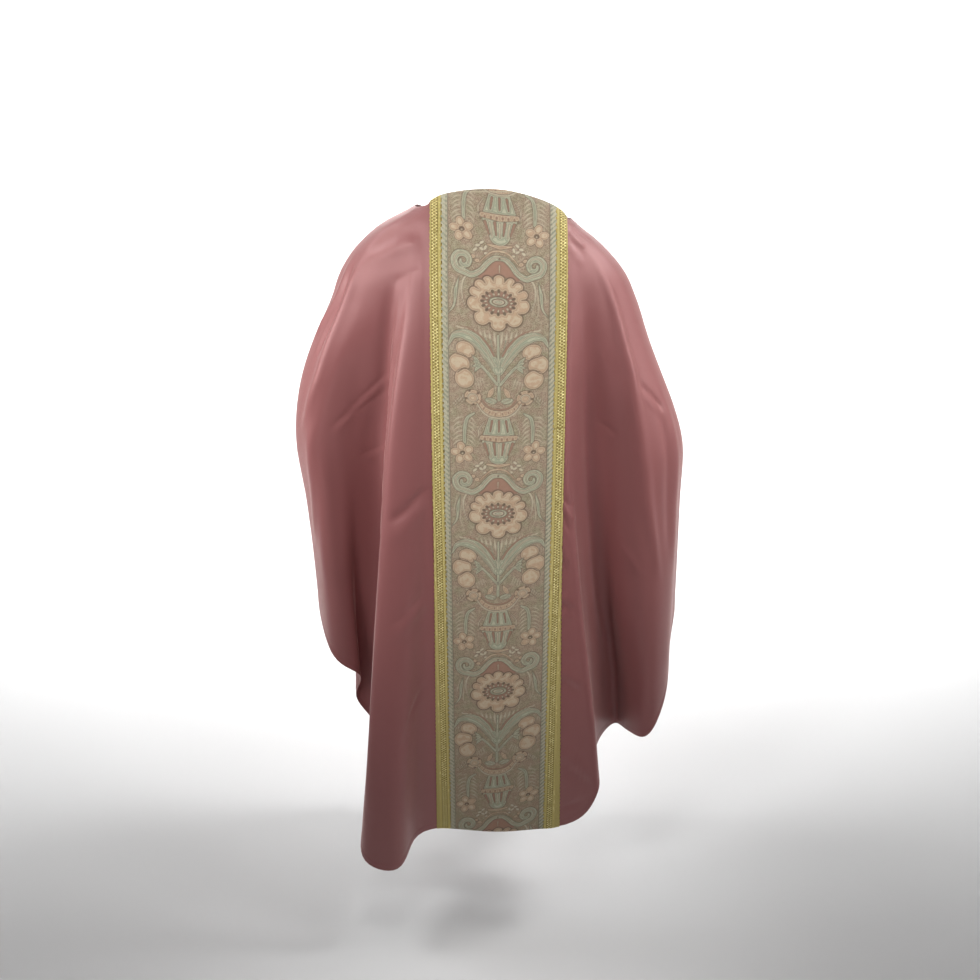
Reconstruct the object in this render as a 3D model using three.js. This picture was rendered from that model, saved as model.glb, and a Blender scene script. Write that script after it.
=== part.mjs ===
// A gothic chasuble as it hangs when worn: a sleeveless outer vestment like a wide, closed
// poncho, of a front and a back joined over the shoulders and down to the wrists, with an
// ornamental band edged by two gold braids down the middle of the back.
// Millimetres, +Z up. The wearer faces -Y, so the back is at +Y and the left side at +X.
// The origin is in the neck opening, on the line of the shoulders that carry the cloth.
import * as THREE from "three";

// Driving sizes.
const CLOTH_THICK = 2;
const SEAM_GAP = 0.3;
const BAND_MIDDLE_X = -15;
const BAND_WIDTH = 235;
const BRAID_WIDTH = 20;
const BAND_THICK = 1.2;
const BRAID_THICK = 1.8;

// The plumb edges of the band and, further in, of the braids that lie along them.
const BAND_LEFT = BAND_MIDDLE_X + BAND_WIDTH / 2;
const BAND_RIGHT = BAND_MIDDLE_X - BAND_WIDTH / 2;
const BRAID_LEFT = BAND_LEFT - BRAID_WIDTH;
const BRAID_RIGHT = BAND_RIGHT + BRAID_WIDTH;

// The finish of each kind of cloth.
const SATIN = { color: 0xa9706f, roughness: 0.55, metalness: 0 };
const TAPESTRY = { color: 0xa99a86, roughness: 0.8, metalness: 0 };
const GOLD_BRAID = { color: 0xc9a637, roughness: 0.45, metalness: 0.6 };

// The drops below the origin where the folds begin and where the elbows hold the cloth out.
const FOLDS_BEGIN = 70;
const ELBOW_DROP = 450;

// The mesh: rows down the cloth, how far they crowd to the top, and columns from line to line.
const ROWS = 30;
const ROW_CROWDING = 1.45;
const BACK_COLUMNS = 2;
const FRONT_COLUMNS = 3;
const NORMAL_STEP = 0.004;

// The smooth figure under the folds: how far it reaches to each side at each drop, and how square
// its section is there, where 2 would be an ellipse.
const FIGURE = [
  { drop: -30, left: 40, right: 40, back: 56, front: 40, square: 3.6 },
  { drop: 0, left: 86, right: 78, back: 70, front: 50, square: 3.6 },
  { drop: 14, left: 108, right: 102, back: 76, front: 56, square: 3.5 },
  { drop: 30, left: 137, right: 124, back: 82, front: 63, square: 3.2 },
  { drop: 53, left: 184, right: 147, back: 90, front: 72, square: 2.8 },
  { drop: 88, left: 229, right: 192, back: 102, front: 86, square: 2.4 },
  { drop: 144, left: 270, right: 243, back: 117, front: 104, square: 2.2 },
  { drop: 181, left: 284, right: 261, back: 123, front: 114, square: 2.15 },
  { drop: 268, left: 326, right: 293, back: 130, front: 132, square: 2.15 },
  { drop: 320, left: 346, right: 315, back: 132, front: 140, square: 2.15 },
  { drop: 398, left: 364, right: 348, back: 133, front: 150, square: 2.15 },
  { drop: 455, left: 369, right: 366, back: 134, front: 156, square: 2.15 },
  { drop: 566, left: 360, right: 371, back: 134, front: 162, square: 2.15 },
  { drop: 850, left: 352, right: 384, back: 128, front: 175, square: 2.15 },
  { drop: 1320, left: 345, right: 390, back: 116, front: 190, square: 2.15 },
];

// The lines that the folds follow, in two tables that together go once round the cloth. At the
// yoke a line lies on the figure, at x "plumb", or at the share "fan" of the way from the edge of
// the middle panel to the shoulder seam. Below, it runs out through its place at the elbows to its
// place at the hem. A line that gives only its depth there keeps its x. The cloth starts on it at
// the drop "neck" and ends at "hemDrop".
const BACK_LINES = [
  { name: "left seam", fan: 1, neck: 27, elbowX: 369, elbowY: 0, hemX: 352, hemY: -40, hemDrop: 790 },
  { name: "left outer", fan: 0.83, neck: 26.5, elbowX: 350, elbowY: 40, hemX: 345, hemY: -8, hemDrop: 850 },
  { name: "left arm", fan: 0.66, neck: 26, elbowX: 318, elbowY: 68, hemX: 312, hemY: 36, hemDrop: 918 },
  { name: "left notch", fan: 0.56, neck: 25, elbowX: 285, elbowY: 62, hemX: 266, hemY: 24, hemDrop: 958 },
  { name: "left tuck", fan: 0.46, neck: 24, elbowX: 250, elbowY: 50, hemX: 285, hemY: -14, hemDrop: 1035 },
  { name: "left valley", fan: 0.35, neck: 23, elbowX: 198, elbowY: 48, hemX: 242, hemY: -30, hemDrop: 1130 },
  { name: "left ridge side", fan: 0.24, neck: 22, elbowX: 183, elbowY: 106, hemX: 256, hemY: 122, hemDrop: 1225 },
  { name: "left ridge", fan: 0.17, neck: 21, elbowX: 180, elbowY: 146, hemX: 254, hemY: 202, hemDrop: 1278 },
  { name: "left ridge face", fan: 0.1, neck: 20, elbowX: 145, elbowY: 146, hemX: 184, hemY: 206, hemDrop: 1298 },
  { name: "left of band", fan: 0.04, neck: 18.5, elbowX: 114, elbowY: 133, hemX: 150, hemY: 134, hemDrop: 1262 },
  { name: "band left", plumb: BAND_LEFT, neck: 17, elbowY: 131, hemY: 112, hemDrop: 1270 },
  { name: "braid left", plumb: BRAID_LEFT, neck: 6, elbowY: 132, hemY: 111, hemDrop: 1272 },
  { name: "middle", plumb: BAND_MIDDLE_X, neck: -4, elbowY: 134, hemY: 116, hemDrop: 1276 },
  { name: "braid right", plumb: BRAID_RIGHT, neck: 26, elbowY: 128, hemY: 110, hemDrop: 1273 },
  { name: "band right", plumb: BAND_RIGHT, neck: 44, elbowY: 126, hemY: 110, hemDrop: 1272 },
  { name: "right panel", fan: 0.05, neck: 45, elbowX: -137, elbowY: 124, hemX: -180, hemY: 116, hemDrop: 1254 },
  { name: "right ridge", fan: 0.12, neck: 46, elbowX: -145, elbowY: 113, hemX: -222, hemY: 128, hemDrop: 1160 },
  { name: "right valley side", fan: 0.22, neck: 47, elbowX: -176, elbowY: 74, hemX: -218, hemY: 56, hemDrop: 1112 },
  { name: "right valley", fan: 0.33, neck: 48, elbowX: -208, elbowY: 58, hemX: -268, hemY: -26, hemDrop: 1104 },
  { name: "right fold side", fan: 0.46, neck: 48, elbowX: -248, elbowY: 66, hemX: -290, hemY: 22, hemDrop: 1092 },
  { name: "right fold", fan: 0.58, neck: 48, elbowX: -282, elbowY: 82, hemX: -322, hemY: 66, hemDrop: 1080 },
  { name: "right arm", fan: 0.72, neck: 49, elbowX: -328, elbowY: 62, hemX: -360, hemY: 40, hemDrop: 1000 },
  { name: "right outer", fan: 0.86, neck: 49, elbowX: -356, elbowY: 28, hemX: -372, hemY: -14, hemDrop: 905 },
  { name: "right seam", fan: 1, neck: 50, elbowX: -366, elbowY: -12, hemX: -385, hemY: -58, hemDrop: 828 },
];
const FRONT_LINES = [
  { name: "right outer", fan: 0.8, neck: 51, elbowX: -352, elbowY: -72, hemX: -372, hemY: -112, hemDrop: 830 },
  { name: "right arm", fan: 0.6, neck: 53, elbowX: -302, elbowY: -128, hemX: -334, hemY: -150, hemDrop: 932 },
  { name: "right valley", fan: 0.38, neck: 57, elbowX: -222, elbowY: -112, hemX: -262, hemY: -96, hemDrop: 1055 },
  { name: "right ridge", fan: 0.16, neck: 62, elbowX: -168, elbowY: -174, hemX: -206, hemY: -206, hemDrop: 1178 },
  { name: "right panel", plumb: -115, neck: 68, elbowX: -108, elbowY: -178, hemX: -128, hemY: -204, hemDrop: 1228 },
  { name: "middle", plumb: -12, neck: 92, elbowX: -10, elbowY: -168, hemX: -22, hemY: -184, hemDrop: 1248 },
  { name: "left panel", plumb: 95, neck: 54, elbowX: 96, elbowY: -174, hemX: 104, hemY: -200, hemDrop: 1246 },
  { name: "left ridge", fan: 0.16, neck: 44, elbowX: 162, elbowY: -184, hemX: 218, hemY: -226, hemDrop: 1204 },
  { name: "left valley", fan: 0.38, neck: 37, elbowX: 214, elbowY: -116, hemX: 250, hemY: -84, hemDrop: 1050 },
  { name: "left arm", fan: 0.6, neck: 32, elbowX: 296, elbowY: -126, hemX: 300, hemY: -142, hemDrop: 915 },
  { name: "left outer", fan: 0.8, neck: 29, elbowX: 352, elbowY: -66, hemX: 342, hemY: -98, hemDrop: 815 },
];
const LINES = [...BACK_LINES, ...FRONT_LINES];
const RIGHT_SEAM = BACK_LINES.length - 1;

// The value at one place of a smooth curve through values at rising places, straight past both
// ends. A curve that starts level has no slope at its first place.
function smoothThrough(places, values, at, startsLevel = false) {
  const last = places.length - 1;
  const rise = (i) => (values[i + 1] - values[i]) / (places[i + 1] - places[i]);
  const slope = (i) => {
    if (i === 0) return startsLevel ? 0 : rise(0);
    if (i === last) return rise(last - 1);
    const before = places[i] - places[i - 1];
    const after = places[i + 1] - places[i];
    return (rise(i - 1) * after + rise(i) * before) / (before + after);
  };
  if (at <= places[0]) return values[0] + slope(0) * (at - places[0]);
  if (at >= places[last]) return values[last] + slope(last) * (at - places[last]);
  const i = places.findIndex((place) => place > at) - 1;
  const span = places[i + 1] - places[i];
  const t = (at - places[i]) / span;
  return (
    (1 + 2 * t) * (1 - t) ** 2 * values[i] +
    t * (1 - t) ** 2 * span * slope(i) +
    t * t * (3 - 2 * t) * values[i + 1] +
    t * t * (t - 1) * span * slope(i + 1)
  );
}

// One column of the figure at a drop, such as how far it reaches to the left.
function figure(column, drop) {
  const drops = FIGURE.map((row) => row.drop);
  const values = FIGURE.map((row) => row[column]);
  return smoothThrough(drops, values, drop);
}

// The edge of the middle panel from which a line fans out.
function panelEdge(onLeft, inFront) {
  if (!inFront) return onLeft ? BAND_LEFT : BAND_RIGHT;
  const name = onLeft ? "left panel" : "right panel";
  return FRONT_LINES.find((line) => line.name === name).plumb;
}

// Where a line crosses the smooth figure at a drop.
function onFigure(line, drop) {
  const onLeft = line.elbowX > 0;
  const inFront = FRONT_LINES.includes(line);
  let x = line.plumb;
  if (line.fan !== undefined) {
    const seam = onLeft ? figure("left", drop) : -figure("right", drop);
    x = THREE.MathUtils.lerp(panelEdge(onLeft, inFront), seam, line.fan);
  }
  const halfWidth = figure(x > 0 ? "left" : "right", drop);
  const depth = inFront ? -figure("front", drop) : figure("back", drop);
  const square = figure("square", drop);
  const outward = Math.min(1, Math.abs(x) / halfWidth) ** square;
  return { x, y: depth * (1 - outward) ** (1 / square) };
}

// The point of a line at a drop: the figure above the folds, then out through elbow and hem.
function linePoint(line, drop) {
  const base = onFigure(line, drop);
  const atElbow = onFigure(line, ELBOW_DROP);
  const atHem = onFigure(line, line.hemDrop);
  const { elbowX = atElbow.x, elbowY, hemX = atHem.x, hemY } = line;
  const places = [FOLDS_BEGIN, ELBOW_DROP, line.hemDrop];
  const outX = smoothThrough(places, [0, elbowX - atElbow.x, hemX - atHem.x], drop, true);
  const outY = smoothThrough(places, [0, elbowY - atElbow.y, hemY - atHem.y], drop, true);
  return new THREE.Vector3(base.x + outX, base.y + outY, -drop);
}

// The closed curve once round the cloth at a share of the way from neckline to hem.
function ringAt(share) {
  const points = LINES.map((line) => linePoint(line, THREE.MathUtils.lerp(line.neck, line.hemDrop, share)));
  return new THREE.CatmullRomCurve3(points, true, "centripetal");
}

// The places round a ring of the columns from one line to another, each at "at".
function columnsBetween(first, last, perLine) {
  const columns = [];
  for (let step = 0; step <= (last - first) * perLine; step++) {
    columns.push({ at: (first + step / perLine) / LINES.length, pullIn: 0 });
  }
  columns[0].pullIn = SEAM_GAP / 2;
  columns[columns.length - 1].pullIn = -SEAM_GAP / 2;
  return columns;
}

// The cloth's middle surface over some columns, as rows of points with their outward normals.
// The end columns are pulled in by half a seam gap.
function surfaceRows(columns) {
  const rows = [];
  for (let row = 0; row <= ROWS; row++) {
    const share = (row / ROWS) ** ROW_CROWDING;
    const ring = ringAt(share);
    const ringAbove = ringAt(share - NORMAL_STEP);
    const ringBelow = ringAt(share + NORMAL_STEP);
    rows.push(columns.map(({ at, pullIn }) => {
      const along = ring.getTangent(at % 1);
      const down = ringBelow.getPoint(at % 1).sub(ringAbove.getPoint(at % 1));
      const normal = down.cross(along).normalize();
      return { point: ring.getPoint(at % 1).addScaledVector(along, pullIn), normal };
    }));
  }
  return rows;
}

// A closed wall over rows of surface points, from one distance outside them to another.
function wallGeometry(rows, innerOut, outerOut) {
  const width = rows[0].length;
  const skinSize = rows.length * width;
  const corners = [outerOut, innerOut].flatMap((out) =>
    rows.flat().flatMap(({ point, normal }) => point.clone().addScaledVector(normal, out).toArray()));
  const outer = (row, column) => row * width + column;
  const inner = (row, column) => skinSize + outer(row, column);
  const faces = [];
  const quad = (a, b, c, d) => faces.push(a, b, c, a, c, d);
  for (let row = 0; row < rows.length - 1; row++) {
    for (let column = 0; column < width - 1; column++) {
      quad(outer(row + 1, column), outer(row + 1, column + 1), outer(row, column + 1), outer(row, column));
      quad(inner(row + 1, column), inner(row, column), inner(row, column + 1), inner(row + 1, column + 1));
    }
    const end = width - 1;
    quad(outer(row, 0), inner(row, 0), inner(row + 1, 0), outer(row + 1, 0));
    quad(outer(row, end), outer(row + 1, end), inner(row + 1, end), inner(row, end));
  }
  const bottom = rows.length - 1;
  for (let column = 0; column < width - 1; column++) {
    quad(outer(0, column), outer(0, column + 1), inner(0, column + 1), inner(0, column));
    quad(outer(bottom, column), inner(bottom, column), inner(bottom, column + 1), outer(bottom, column + 1));
  }
  const geometry = new THREE.BufferGeometry();
  geometry.setAttribute("position", new THREE.Float32BufferAttribute(corners, 3));
  geometry.setIndex(faces);
  geometry.computeVertexNormals();
  return geometry;
}

// A named mesh with the finish of its cloth.
function clothMesh(name, geometry, finish) {
  const mesh = new THREE.Mesh(geometry, new THREE.MeshStandardMaterial(finish));
  mesh.name = name;
  return mesh;
}

// One of the two large panels of rose satin.
function makePanel(name, firstLine, lastLine, perLine) {
  const rows = surfaceRows(columnsBetween(firstLine, lastLine, perLine));
  const geometry = wallGeometry(rows, -CLOTH_THICK / 2, CLOTH_THICK / 2);
  return clothMesh(name, geometry, SATIN);
}

// The number of a line of the back, counted from the left seam.
function backLine(name) {
  return BACK_LINES.findIndex((line) => line.name === name);
}

// A strip that lies on the back between two of its lines.
function stripGeometry(firstName, lastName, thick) {
  const rows = surfaceRows(columnsBetween(backLine(firstName), backLine(lastName), BACK_COLUMNS));
  const underside = CLOTH_THICK / 2 + SEAM_GAP;
  return wallGeometry(rows, underside, underside + thick);
}

function makeBand() {
  return clothMesh("orphrey_band", stripGeometry("braid left", "braid right", BAND_THICK), TAPESTRY);
}

function makeBraid(name, firstName, lastName) {
  return clothMesh(name, stripGeometry(firstName, lastName, BRAID_THICK), GOLD_BRAID);
}

const chasuble = new THREE.Group();
chasuble.add(makePanel("back", 0, RIGHT_SEAM, BACK_COLUMNS));
chasuble.add(makePanel("front", RIGHT_SEAM, LINES.length, FRONT_COLUMNS));
chasuble.add(makeBand());
chasuble.add(makeBraid("braid_left", "band left", "braid left"));
chasuble.add(makeBraid("braid_right", "braid right", "band right"));

export default chasuble;
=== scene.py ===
"""The looks of a gothic chasuble as it hangs when worn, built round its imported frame.

The garment is a wide sleeveless vestment of rose satin with a floral tapestry band down the
back, edged by two gold braids. Metres, +Z up, the back at +Y and the wearer's left at +X.
Lengths in the tables of the drape and the ornament are in millimetres.
"""

from __future__ import annotations

import logging
import math
import sys
from dataclasses import dataclass, field
from enum import Enum
from typing import Any, Callable, Mapping, Sequence, Union

import bmesh
import bpy
import numpy as np
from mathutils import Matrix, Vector

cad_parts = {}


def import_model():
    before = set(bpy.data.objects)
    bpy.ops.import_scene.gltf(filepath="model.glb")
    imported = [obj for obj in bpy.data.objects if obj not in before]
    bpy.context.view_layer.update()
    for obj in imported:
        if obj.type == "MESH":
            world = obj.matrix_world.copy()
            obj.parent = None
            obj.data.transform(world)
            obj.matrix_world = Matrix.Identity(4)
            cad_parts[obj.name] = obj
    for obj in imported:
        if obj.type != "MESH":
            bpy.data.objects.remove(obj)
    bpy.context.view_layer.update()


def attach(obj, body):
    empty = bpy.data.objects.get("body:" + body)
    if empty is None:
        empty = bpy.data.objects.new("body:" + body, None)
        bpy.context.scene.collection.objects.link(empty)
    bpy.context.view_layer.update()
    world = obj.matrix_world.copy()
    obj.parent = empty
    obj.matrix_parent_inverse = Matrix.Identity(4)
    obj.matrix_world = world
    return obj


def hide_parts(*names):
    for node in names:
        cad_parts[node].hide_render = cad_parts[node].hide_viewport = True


log = logging.getLogger("chasuble")

MM = 0.001
Array = np.ndarray
Colour = tuple[float, float, float, float]
Path = Sequence[tuple[float, float]]


# ---- The drape: the surface of the cloth, from the same named values as the frame ----

CLOTH_THICK = 2.0
SEAM_GAP = 0.3
BAND_MIDDLE_X = -15.0
BAND_WIDTH = 235.0
BRAID_WIDTH = 20.0
BAND_THICK = 1.2
BRAID_THICK = 1.8
BAND_LEFT = BAND_MIDDLE_X + BAND_WIDTH / 2
BAND_RIGHT = BAND_MIDDLE_X - BAND_WIDTH / 2
BRAID_LEFT = BAND_LEFT - BRAID_WIDTH
BRAID_RIGHT = BAND_RIGHT + BRAID_WIDTH
FOLDS_BEGIN = 70.0
ELBOW_DROP = 450.0
ROW_CROWDING = 1.45
TRIM_ROW_CROWDING = 1.05
CREASE_FADE = 1 / 3.6  # the share of a crease over which each end fades

# drop, reach to the left, to the right, to the back, to the front, squareness of the section
FIGURE = np.array(
    [
        (-30, 40, 40, 56, 40, 3.6),
        (0, 86, 78, 70, 50, 3.6),
        (14, 108, 102, 76, 56, 3.5),
        (30, 137, 124, 82, 63, 3.2),
        (53, 184, 147, 90, 72, 2.8),
        (88, 229, 192, 102, 86, 2.4),
        (144, 270, 243, 117, 104, 2.2),
        (181, 284, 261, 123, 114, 2.15),
        (268, 326, 293, 130, 132, 2.15),
        (320, 346, 315, 132, 140, 2.15),
        (398, 364, 348, 133, 150, 2.15),
        (455, 369, 366, 134, 156, 2.15),
        (566, 360, 371, 134, 162, 2.15),
        (850, 352, 384, 128, 175, 2.15),
        (1320, 345, 390, 116, 190, 2.15),
    ]
)


@dataclass(frozen=True)
class FoldLine:
    """One line that the cloth follows down the body, at the yoke on the smooth figure.

    It has either a plumb x or the share "fan" of the way from the middle panel to the shoulder
    seam, and runs out below through its places at the elbows and at the hem.
    """

    name: str
    neck: float
    hem_drop: float
    elbow: tuple[float | None, float]
    hem: tuple[float | None, float]
    fan: float | None = None
    plumb: float | None = None
    in_front: bool = False


def _back(name: str, fan: float, neck: float, elbow: tuple, hem: tuple, drop: float) -> FoldLine:
    """A line of the back that fans out from the band."""
    return FoldLine(name, neck, drop, elbow, hem, fan=fan)


def _plumb(name: str, x: float, neck: float, elbow_y: float, hem_y: float, drop: float) -> FoldLine:
    """A line of the back that keeps its x."""
    return FoldLine(name, neck, drop, (None, elbow_y), (None, hem_y), plumb=x)


def _front(name: str, fan: float, neck: float, elbow: tuple, hem: tuple, drop: float) -> FoldLine:
    """A line of the front that fans out from its middle panel."""
    return FoldLine(name, neck, drop, elbow, hem, fan=fan, in_front=True)


FRONT_EDGE_LEFT = 95.0
FRONT_EDGE_RIGHT = -115.0

FOLD_LINES = (
    _back("left seam", 1, 27, (369, 0), (352, -40), 790),
    _back("left outer", 0.83, 26.5, (350, 40), (345, -8), 850),
    _back("left arm", 0.66, 26, (318, 68), (312, 36), 918),
    _back("left notch", 0.56, 25, (285, 62), (266, 24), 958),
    _back("left tuck", 0.46, 24, (250, 50), (285, -14), 1035),
    _back("left valley", 0.35, 23, (198, 48), (242, -30), 1130),
    _back("left ridge side", 0.24, 22, (183, 106), (256, 122), 1225),
    _back("left ridge", 0.17, 21, (180, 146), (254, 202), 1278),
    _back("left ridge face", 0.1, 20, (145, 146), (184, 206), 1298),
    _back("left of band", 0.04, 18.5, (114, 133), (150, 134), 1262),
    _plumb("band left", BAND_LEFT, 17, 131, 112, 1270),
    _plumb("braid left", BRAID_LEFT, 6, 132, 111, 1272),
    _plumb("middle", BAND_MIDDLE_X, -4, 134, 116, 1276),
    _plumb("braid right", BRAID_RIGHT, 26, 128, 110, 1273),
    _plumb("band right", BAND_RIGHT, 44, 126, 110, 1272),
    _back("right panel", 0.05, 45, (-137, 124), (-180, 116), 1254),
    _back("right ridge", 0.12, 46, (-145, 113), (-222, 128), 1160),
    _back("right valley side", 0.22, 47, (-176, 74), (-218, 56), 1112),
    _back("right valley", 0.33, 48, (-208, 58), (-268, -26), 1104),
    _back("right fold side", 0.46, 48, (-248, 66), (-290, 22), 1092),
    _back("right fold", 0.58, 48, (-282, 82), (-322, 66), 1080),
    _back("right arm", 0.72, 49, (-328, 62), (-360, 40), 1000),
    _back("right outer", 0.86, 49, (-356, 28), (-372, -14), 905),
    _back("right seam", 1, 50, (-366, -12), (-385, -58), 828),
    _front("right outer", 0.8, 51, (-352, -72), (-372, -112), 830),
    _front("right arm", 0.6, 53, (-302, -128), (-334, -150), 932),
    _front("right valley", 0.38, 57, (-222, -112), (-262, -96), 1055),
    _front("right ridge", 0.16, 62, (-168, -174), (-206, -206), 1178),
    FoldLine("right panel", 68, 1228, (-108, -178), (-128, -204), plumb=FRONT_EDGE_RIGHT, in_front=True),
    FoldLine("middle", 92, 1248, (-10, -168), (-22, -184), plumb=-12, in_front=True),
    FoldLine("left panel", 54, 1246, (96, -174), (104, -200), plumb=FRONT_EDGE_LEFT, in_front=True),
    _front("left ridge", 0.16, 44, (162, -184), (218, -226), 1204),
    _front("left valley", 0.38, 37, (214, -116), (250, -84), 1050),
    _front("left arm", 0.6, 32, (296, -126), (300, -142), 915),
    _front("left outer", 0.8, 29, (352, -66), (342, -98), 815),
)
LINE_COUNT = len(FOLD_LINES)
BACK_NAMES = [line.name for line in FOLD_LINES if not line.in_front]
LINE_BAND_LEFT = BACK_NAMES.index("band left")
LINE_BRAID_LEFT = BACK_NAMES.index("braid left")
LINE_MIDDLE = BACK_NAMES.index("middle")
LINE_BRAID_RIGHT = BACK_NAMES.index("braid right")
LINE_BAND_RIGHT = BACK_NAMES.index("band right")
LINE_RIGHT_SEAM = BACK_NAMES.index("right seam")


@dataclass(frozen=True)
class Crease:
    """A soft ridge or trough laid into the cloth.

    width is how far the crease spreads to a side, rise how high its middle stands, below zero for
    a trough, and path holds points on the cloth as (place round the lines, drop in mm).
    """

    width: float
    rise: float
    path: Path


# Each row is width, rise and the path's points. Places are counted in lines round the cloth: 0 at
# the left seam, 12 the middle of the back, 23 the right seam and 29 the middle of the front.
CREASE_ROWS = (
    # the long folds of the back, sharper along their crests and deeper in their valleys
    (11, 5.5, (5.3, 100), (5.45, 159), (5.5, 279), (5.9, 354), (6.4, 440), (6.7, 600), (6.9, 1000),
     (6.9, 1270)),
    (20, -7.0, (3.6, 90), (4.6, 165), (4.9, 221), (5.1, 305), (5.3, 400), (5.7, 560), (5.8, 820),
     (5.8, 1100)),
    (50, 5.0, (3.4, 300), (3.4, 420), (3.4, 560), (3.4, 760)),
    (14, 5.0, (2.2, 82), (1.3, 130), (1.3, 181), (1.36, 225), (1.5, 320), (1.3, 390), (0.8, 450)),
    (30, 4.0, (1.9, 90), (1.4, 180), (1.5, 320), (1.6, 560)),
    (12, 3.5, (1.7, 380), (1.65, 480), (1.5, 560), (1.2, 680)),
    (9, 4.0, (0.6, 100), (0.72, 150), (0.64, 177), (0.45, 215), (0.2, 270)),
    (9, -3.5, (1.0, 112), (1.02, 165), (0.98, 225), (0.9, 310)),
    (24, 4.0, (2.2, 430), (2.2, 540), (2.0, 640), (1.9, 780)),
    (12, 7.0, (18.6, 88), (19.6, 112), (20.1, 150), (20.2, 194), (20.2, 306), (20.0, 375),
     (19.9, 452), (20.1, 560), (20.6, 760)),
    (64, 15.0, (18.5, 140), (18.9, 230), (18.9, 400), (18.9, 640), (19.1, 1000)),
    (26, -9.0, (17.0, 115), (17.3, 169), (17.4, 300), (17.3, 459), (17.5, 608), (17.6, 767),
     (17.9, 911), (18.2, 1060)),
    (13, 4.5, (15.7, 460), (15.9, 560), (16.0, 700), (16.0, 900), (16.0, 1150)),
    (16, 2.5, (21.6, 300), (21.5, 480), (21.4, 760)),
    (14, -2.5, (21.0, 330), (20.9, 520), (21.0, 700)),
    # soft drags over the shoulders
    (18, -3.0, (9.4, 58), (6.0, 60), (3.0, 70), (1.2, 100)),
    (22, 3.0, (9.0, 84), (5.5, 84), (3.0, 92), (1.8, 120)),
    (12, -1.6, (8.6, 120), (6.5, 130), (4.6, 150)),
    (7, 2.2, (14.5, 62), (17.0, 74), (19.6, 92)),
    (9, -1.4, (14.5, 72), (16.6, 84), (18.8, 104)),
    (9, 1.4, (14.6, 84), (16.2, 98), (17.8, 124)),
    (5, -1.4, (17.6, 60), (20.0, 70), (22.0, 84)),
    # fine diagonal creases of the left side
    (6, -1.3, (5.4, 290), (3.84, 367), (2.4, 430)),
    (8, 1.1, (5.4, 304), (3.84, 380), (2.5, 444)),
    (5, -0.9, (5.6, 318), (4.3, 372), (2.3, 415)),
    (5, -1.2, (6.0, 424), (4.56, 463), (3.9, 476)),
    (8, 1.0, (5.8, 438), (4.6, 477), (3.9, 490)),
    (13, -3.4, (9.3, 496), (8.2, 534), (7.0, 574)),
    (17, 1.5, (9.2, 532), (8.2, 566), (7.1, 610)),
    (17, 1.8, (9.3, 722), (8.3, 756), (7.4, 800)),
    (12, -1.3, (9.1, 706), (8.2, 738), (7.3, 776)),
    (9, -1.8, (9.2, 900), (8.4, 960), (8.0, 1050)),
    # puckers beside the right braid and small creases beyond
    (5, -2.6, (14.15, 520), (15.0, 540), (16.2, 548)),
    (5, 2.4, (14.15, 532), (15.0, 556), (16.3, 580)),
    (5, -2.4, (14.15, 548), (14.9, 575), (15.8, 604)),
    (5, 2.4, (14.2, 612), (14.8, 636), (15.5, 664)),
    (5, -2.2, (14.2, 626), (14.7, 652), (15.2, 690)),
    (6, 3.0, (14.1, 722), (14.9, 728), (15.7, 750)),
    (6, -2.4, (14.1, 738), (14.9, 748), (15.5, 768)),
    (6, 2.0, (14.2, 772), (14.8, 764), (15.4, 776)),
    (7, -2.0, (14.1, 828), (14.8, 842), (15.5, 850)),
    (9, 3.2, (14.1, 884), (14.9, 900), (15.7, 922)),
    (8, -2.4, (14.1, 902), (14.9, 920), (15.5, 945)),
    (9, 3.0, (14.1, 1070), (15.0, 1100), (15.8, 1142)),
    (9, -2.4, (14.1, 1092), (15.0, 1124), (15.7, 1166)),
    (8, -2.2, (14.1, 1226), (14.8, 1212), (15.4, 1196)),
    (7, -1.8, (17.6, 396), (18.3, 408), (18.9, 424)),
    (7, -2.4, (20.3, 322), (20.8, 350), (21.4, 388)),
    (8, 1.6, (20.2, 338), (20.7, 368), (21.2, 402)),
    (9, 2.0, (18.8, 640), (19.4, 670), (19.9, 716)),
    # the sides and the front, which the same folds go round
    (26, 6.0, (24.5, 100), (25.0, 220), (25.1, 420), (25.2, 700)),
    (12, -3.0, (23.5, 130), (23.7, 240), (23.9, 330)),
    (16, 3.0, (27.0, 140), (27.0, 420), (27.0, 760), (27.0, 1160)),
    (40, -6.0, (26.0, 240), (26.0, 520), (26.0, 940)),
    (16, 3.2, (31.0, 150), (31.0, 460), (31.0, 800), (31.0, 1180)),
    (42, -6.0, (32.1, 230), (32.0, 480), (32.0, 930)),
    (26, 6.0, (33.6, 90), (33.2, 210), (33.2, 430), (33.2, 760)),
    (12, -3.0, (34.5, 140), (34.3, 230), (34.2, 330)),
    (20, 3.2, (29.0, 130), (28.0, 170), (26.8, 260)),
    (18, -2.8, (29.2, 158), (28.2, 205), (27.2, 300)),
    (20, 3.4, (29.2, 118), (30.4, 168), (31.6, 270)),
    (14, -2.6, (29.0, 190), (30.0, 240), (30.9, 330)),
    (10, -3.6, (30.9, 560), (30.2, 590), (29.6, 604)),
    (10, 2.8, (30.8, 580), (30.2, 608), (29.6, 624)),
    (9, -2.8, (27.2, 640), (27.9, 676), (28.5, 690)),
    (10, 2.4, (27.1, 820), (27.8, 850), (28.4, 872)),
    (8, -2.4, (32.8, 420), (32.1, 462), (31.3, 480)),
    (8, -2.2, (24.9, 470), (25.6, 516), (26.4, 540)),
    (9, 2.2, (33.9, 520), (33.3, 570), (32.6, 600)),
    (10, 2.4, (29.4, 960), (30.1, 1010), (30.6, 1090)),
    (9, -2.0, (28.4, 1040), (27.9, 1090), (27.6, 1150)),
)
CREASES = tuple(Crease(width, rise, path) for width, rise, *path in CREASE_ROWS)


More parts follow.
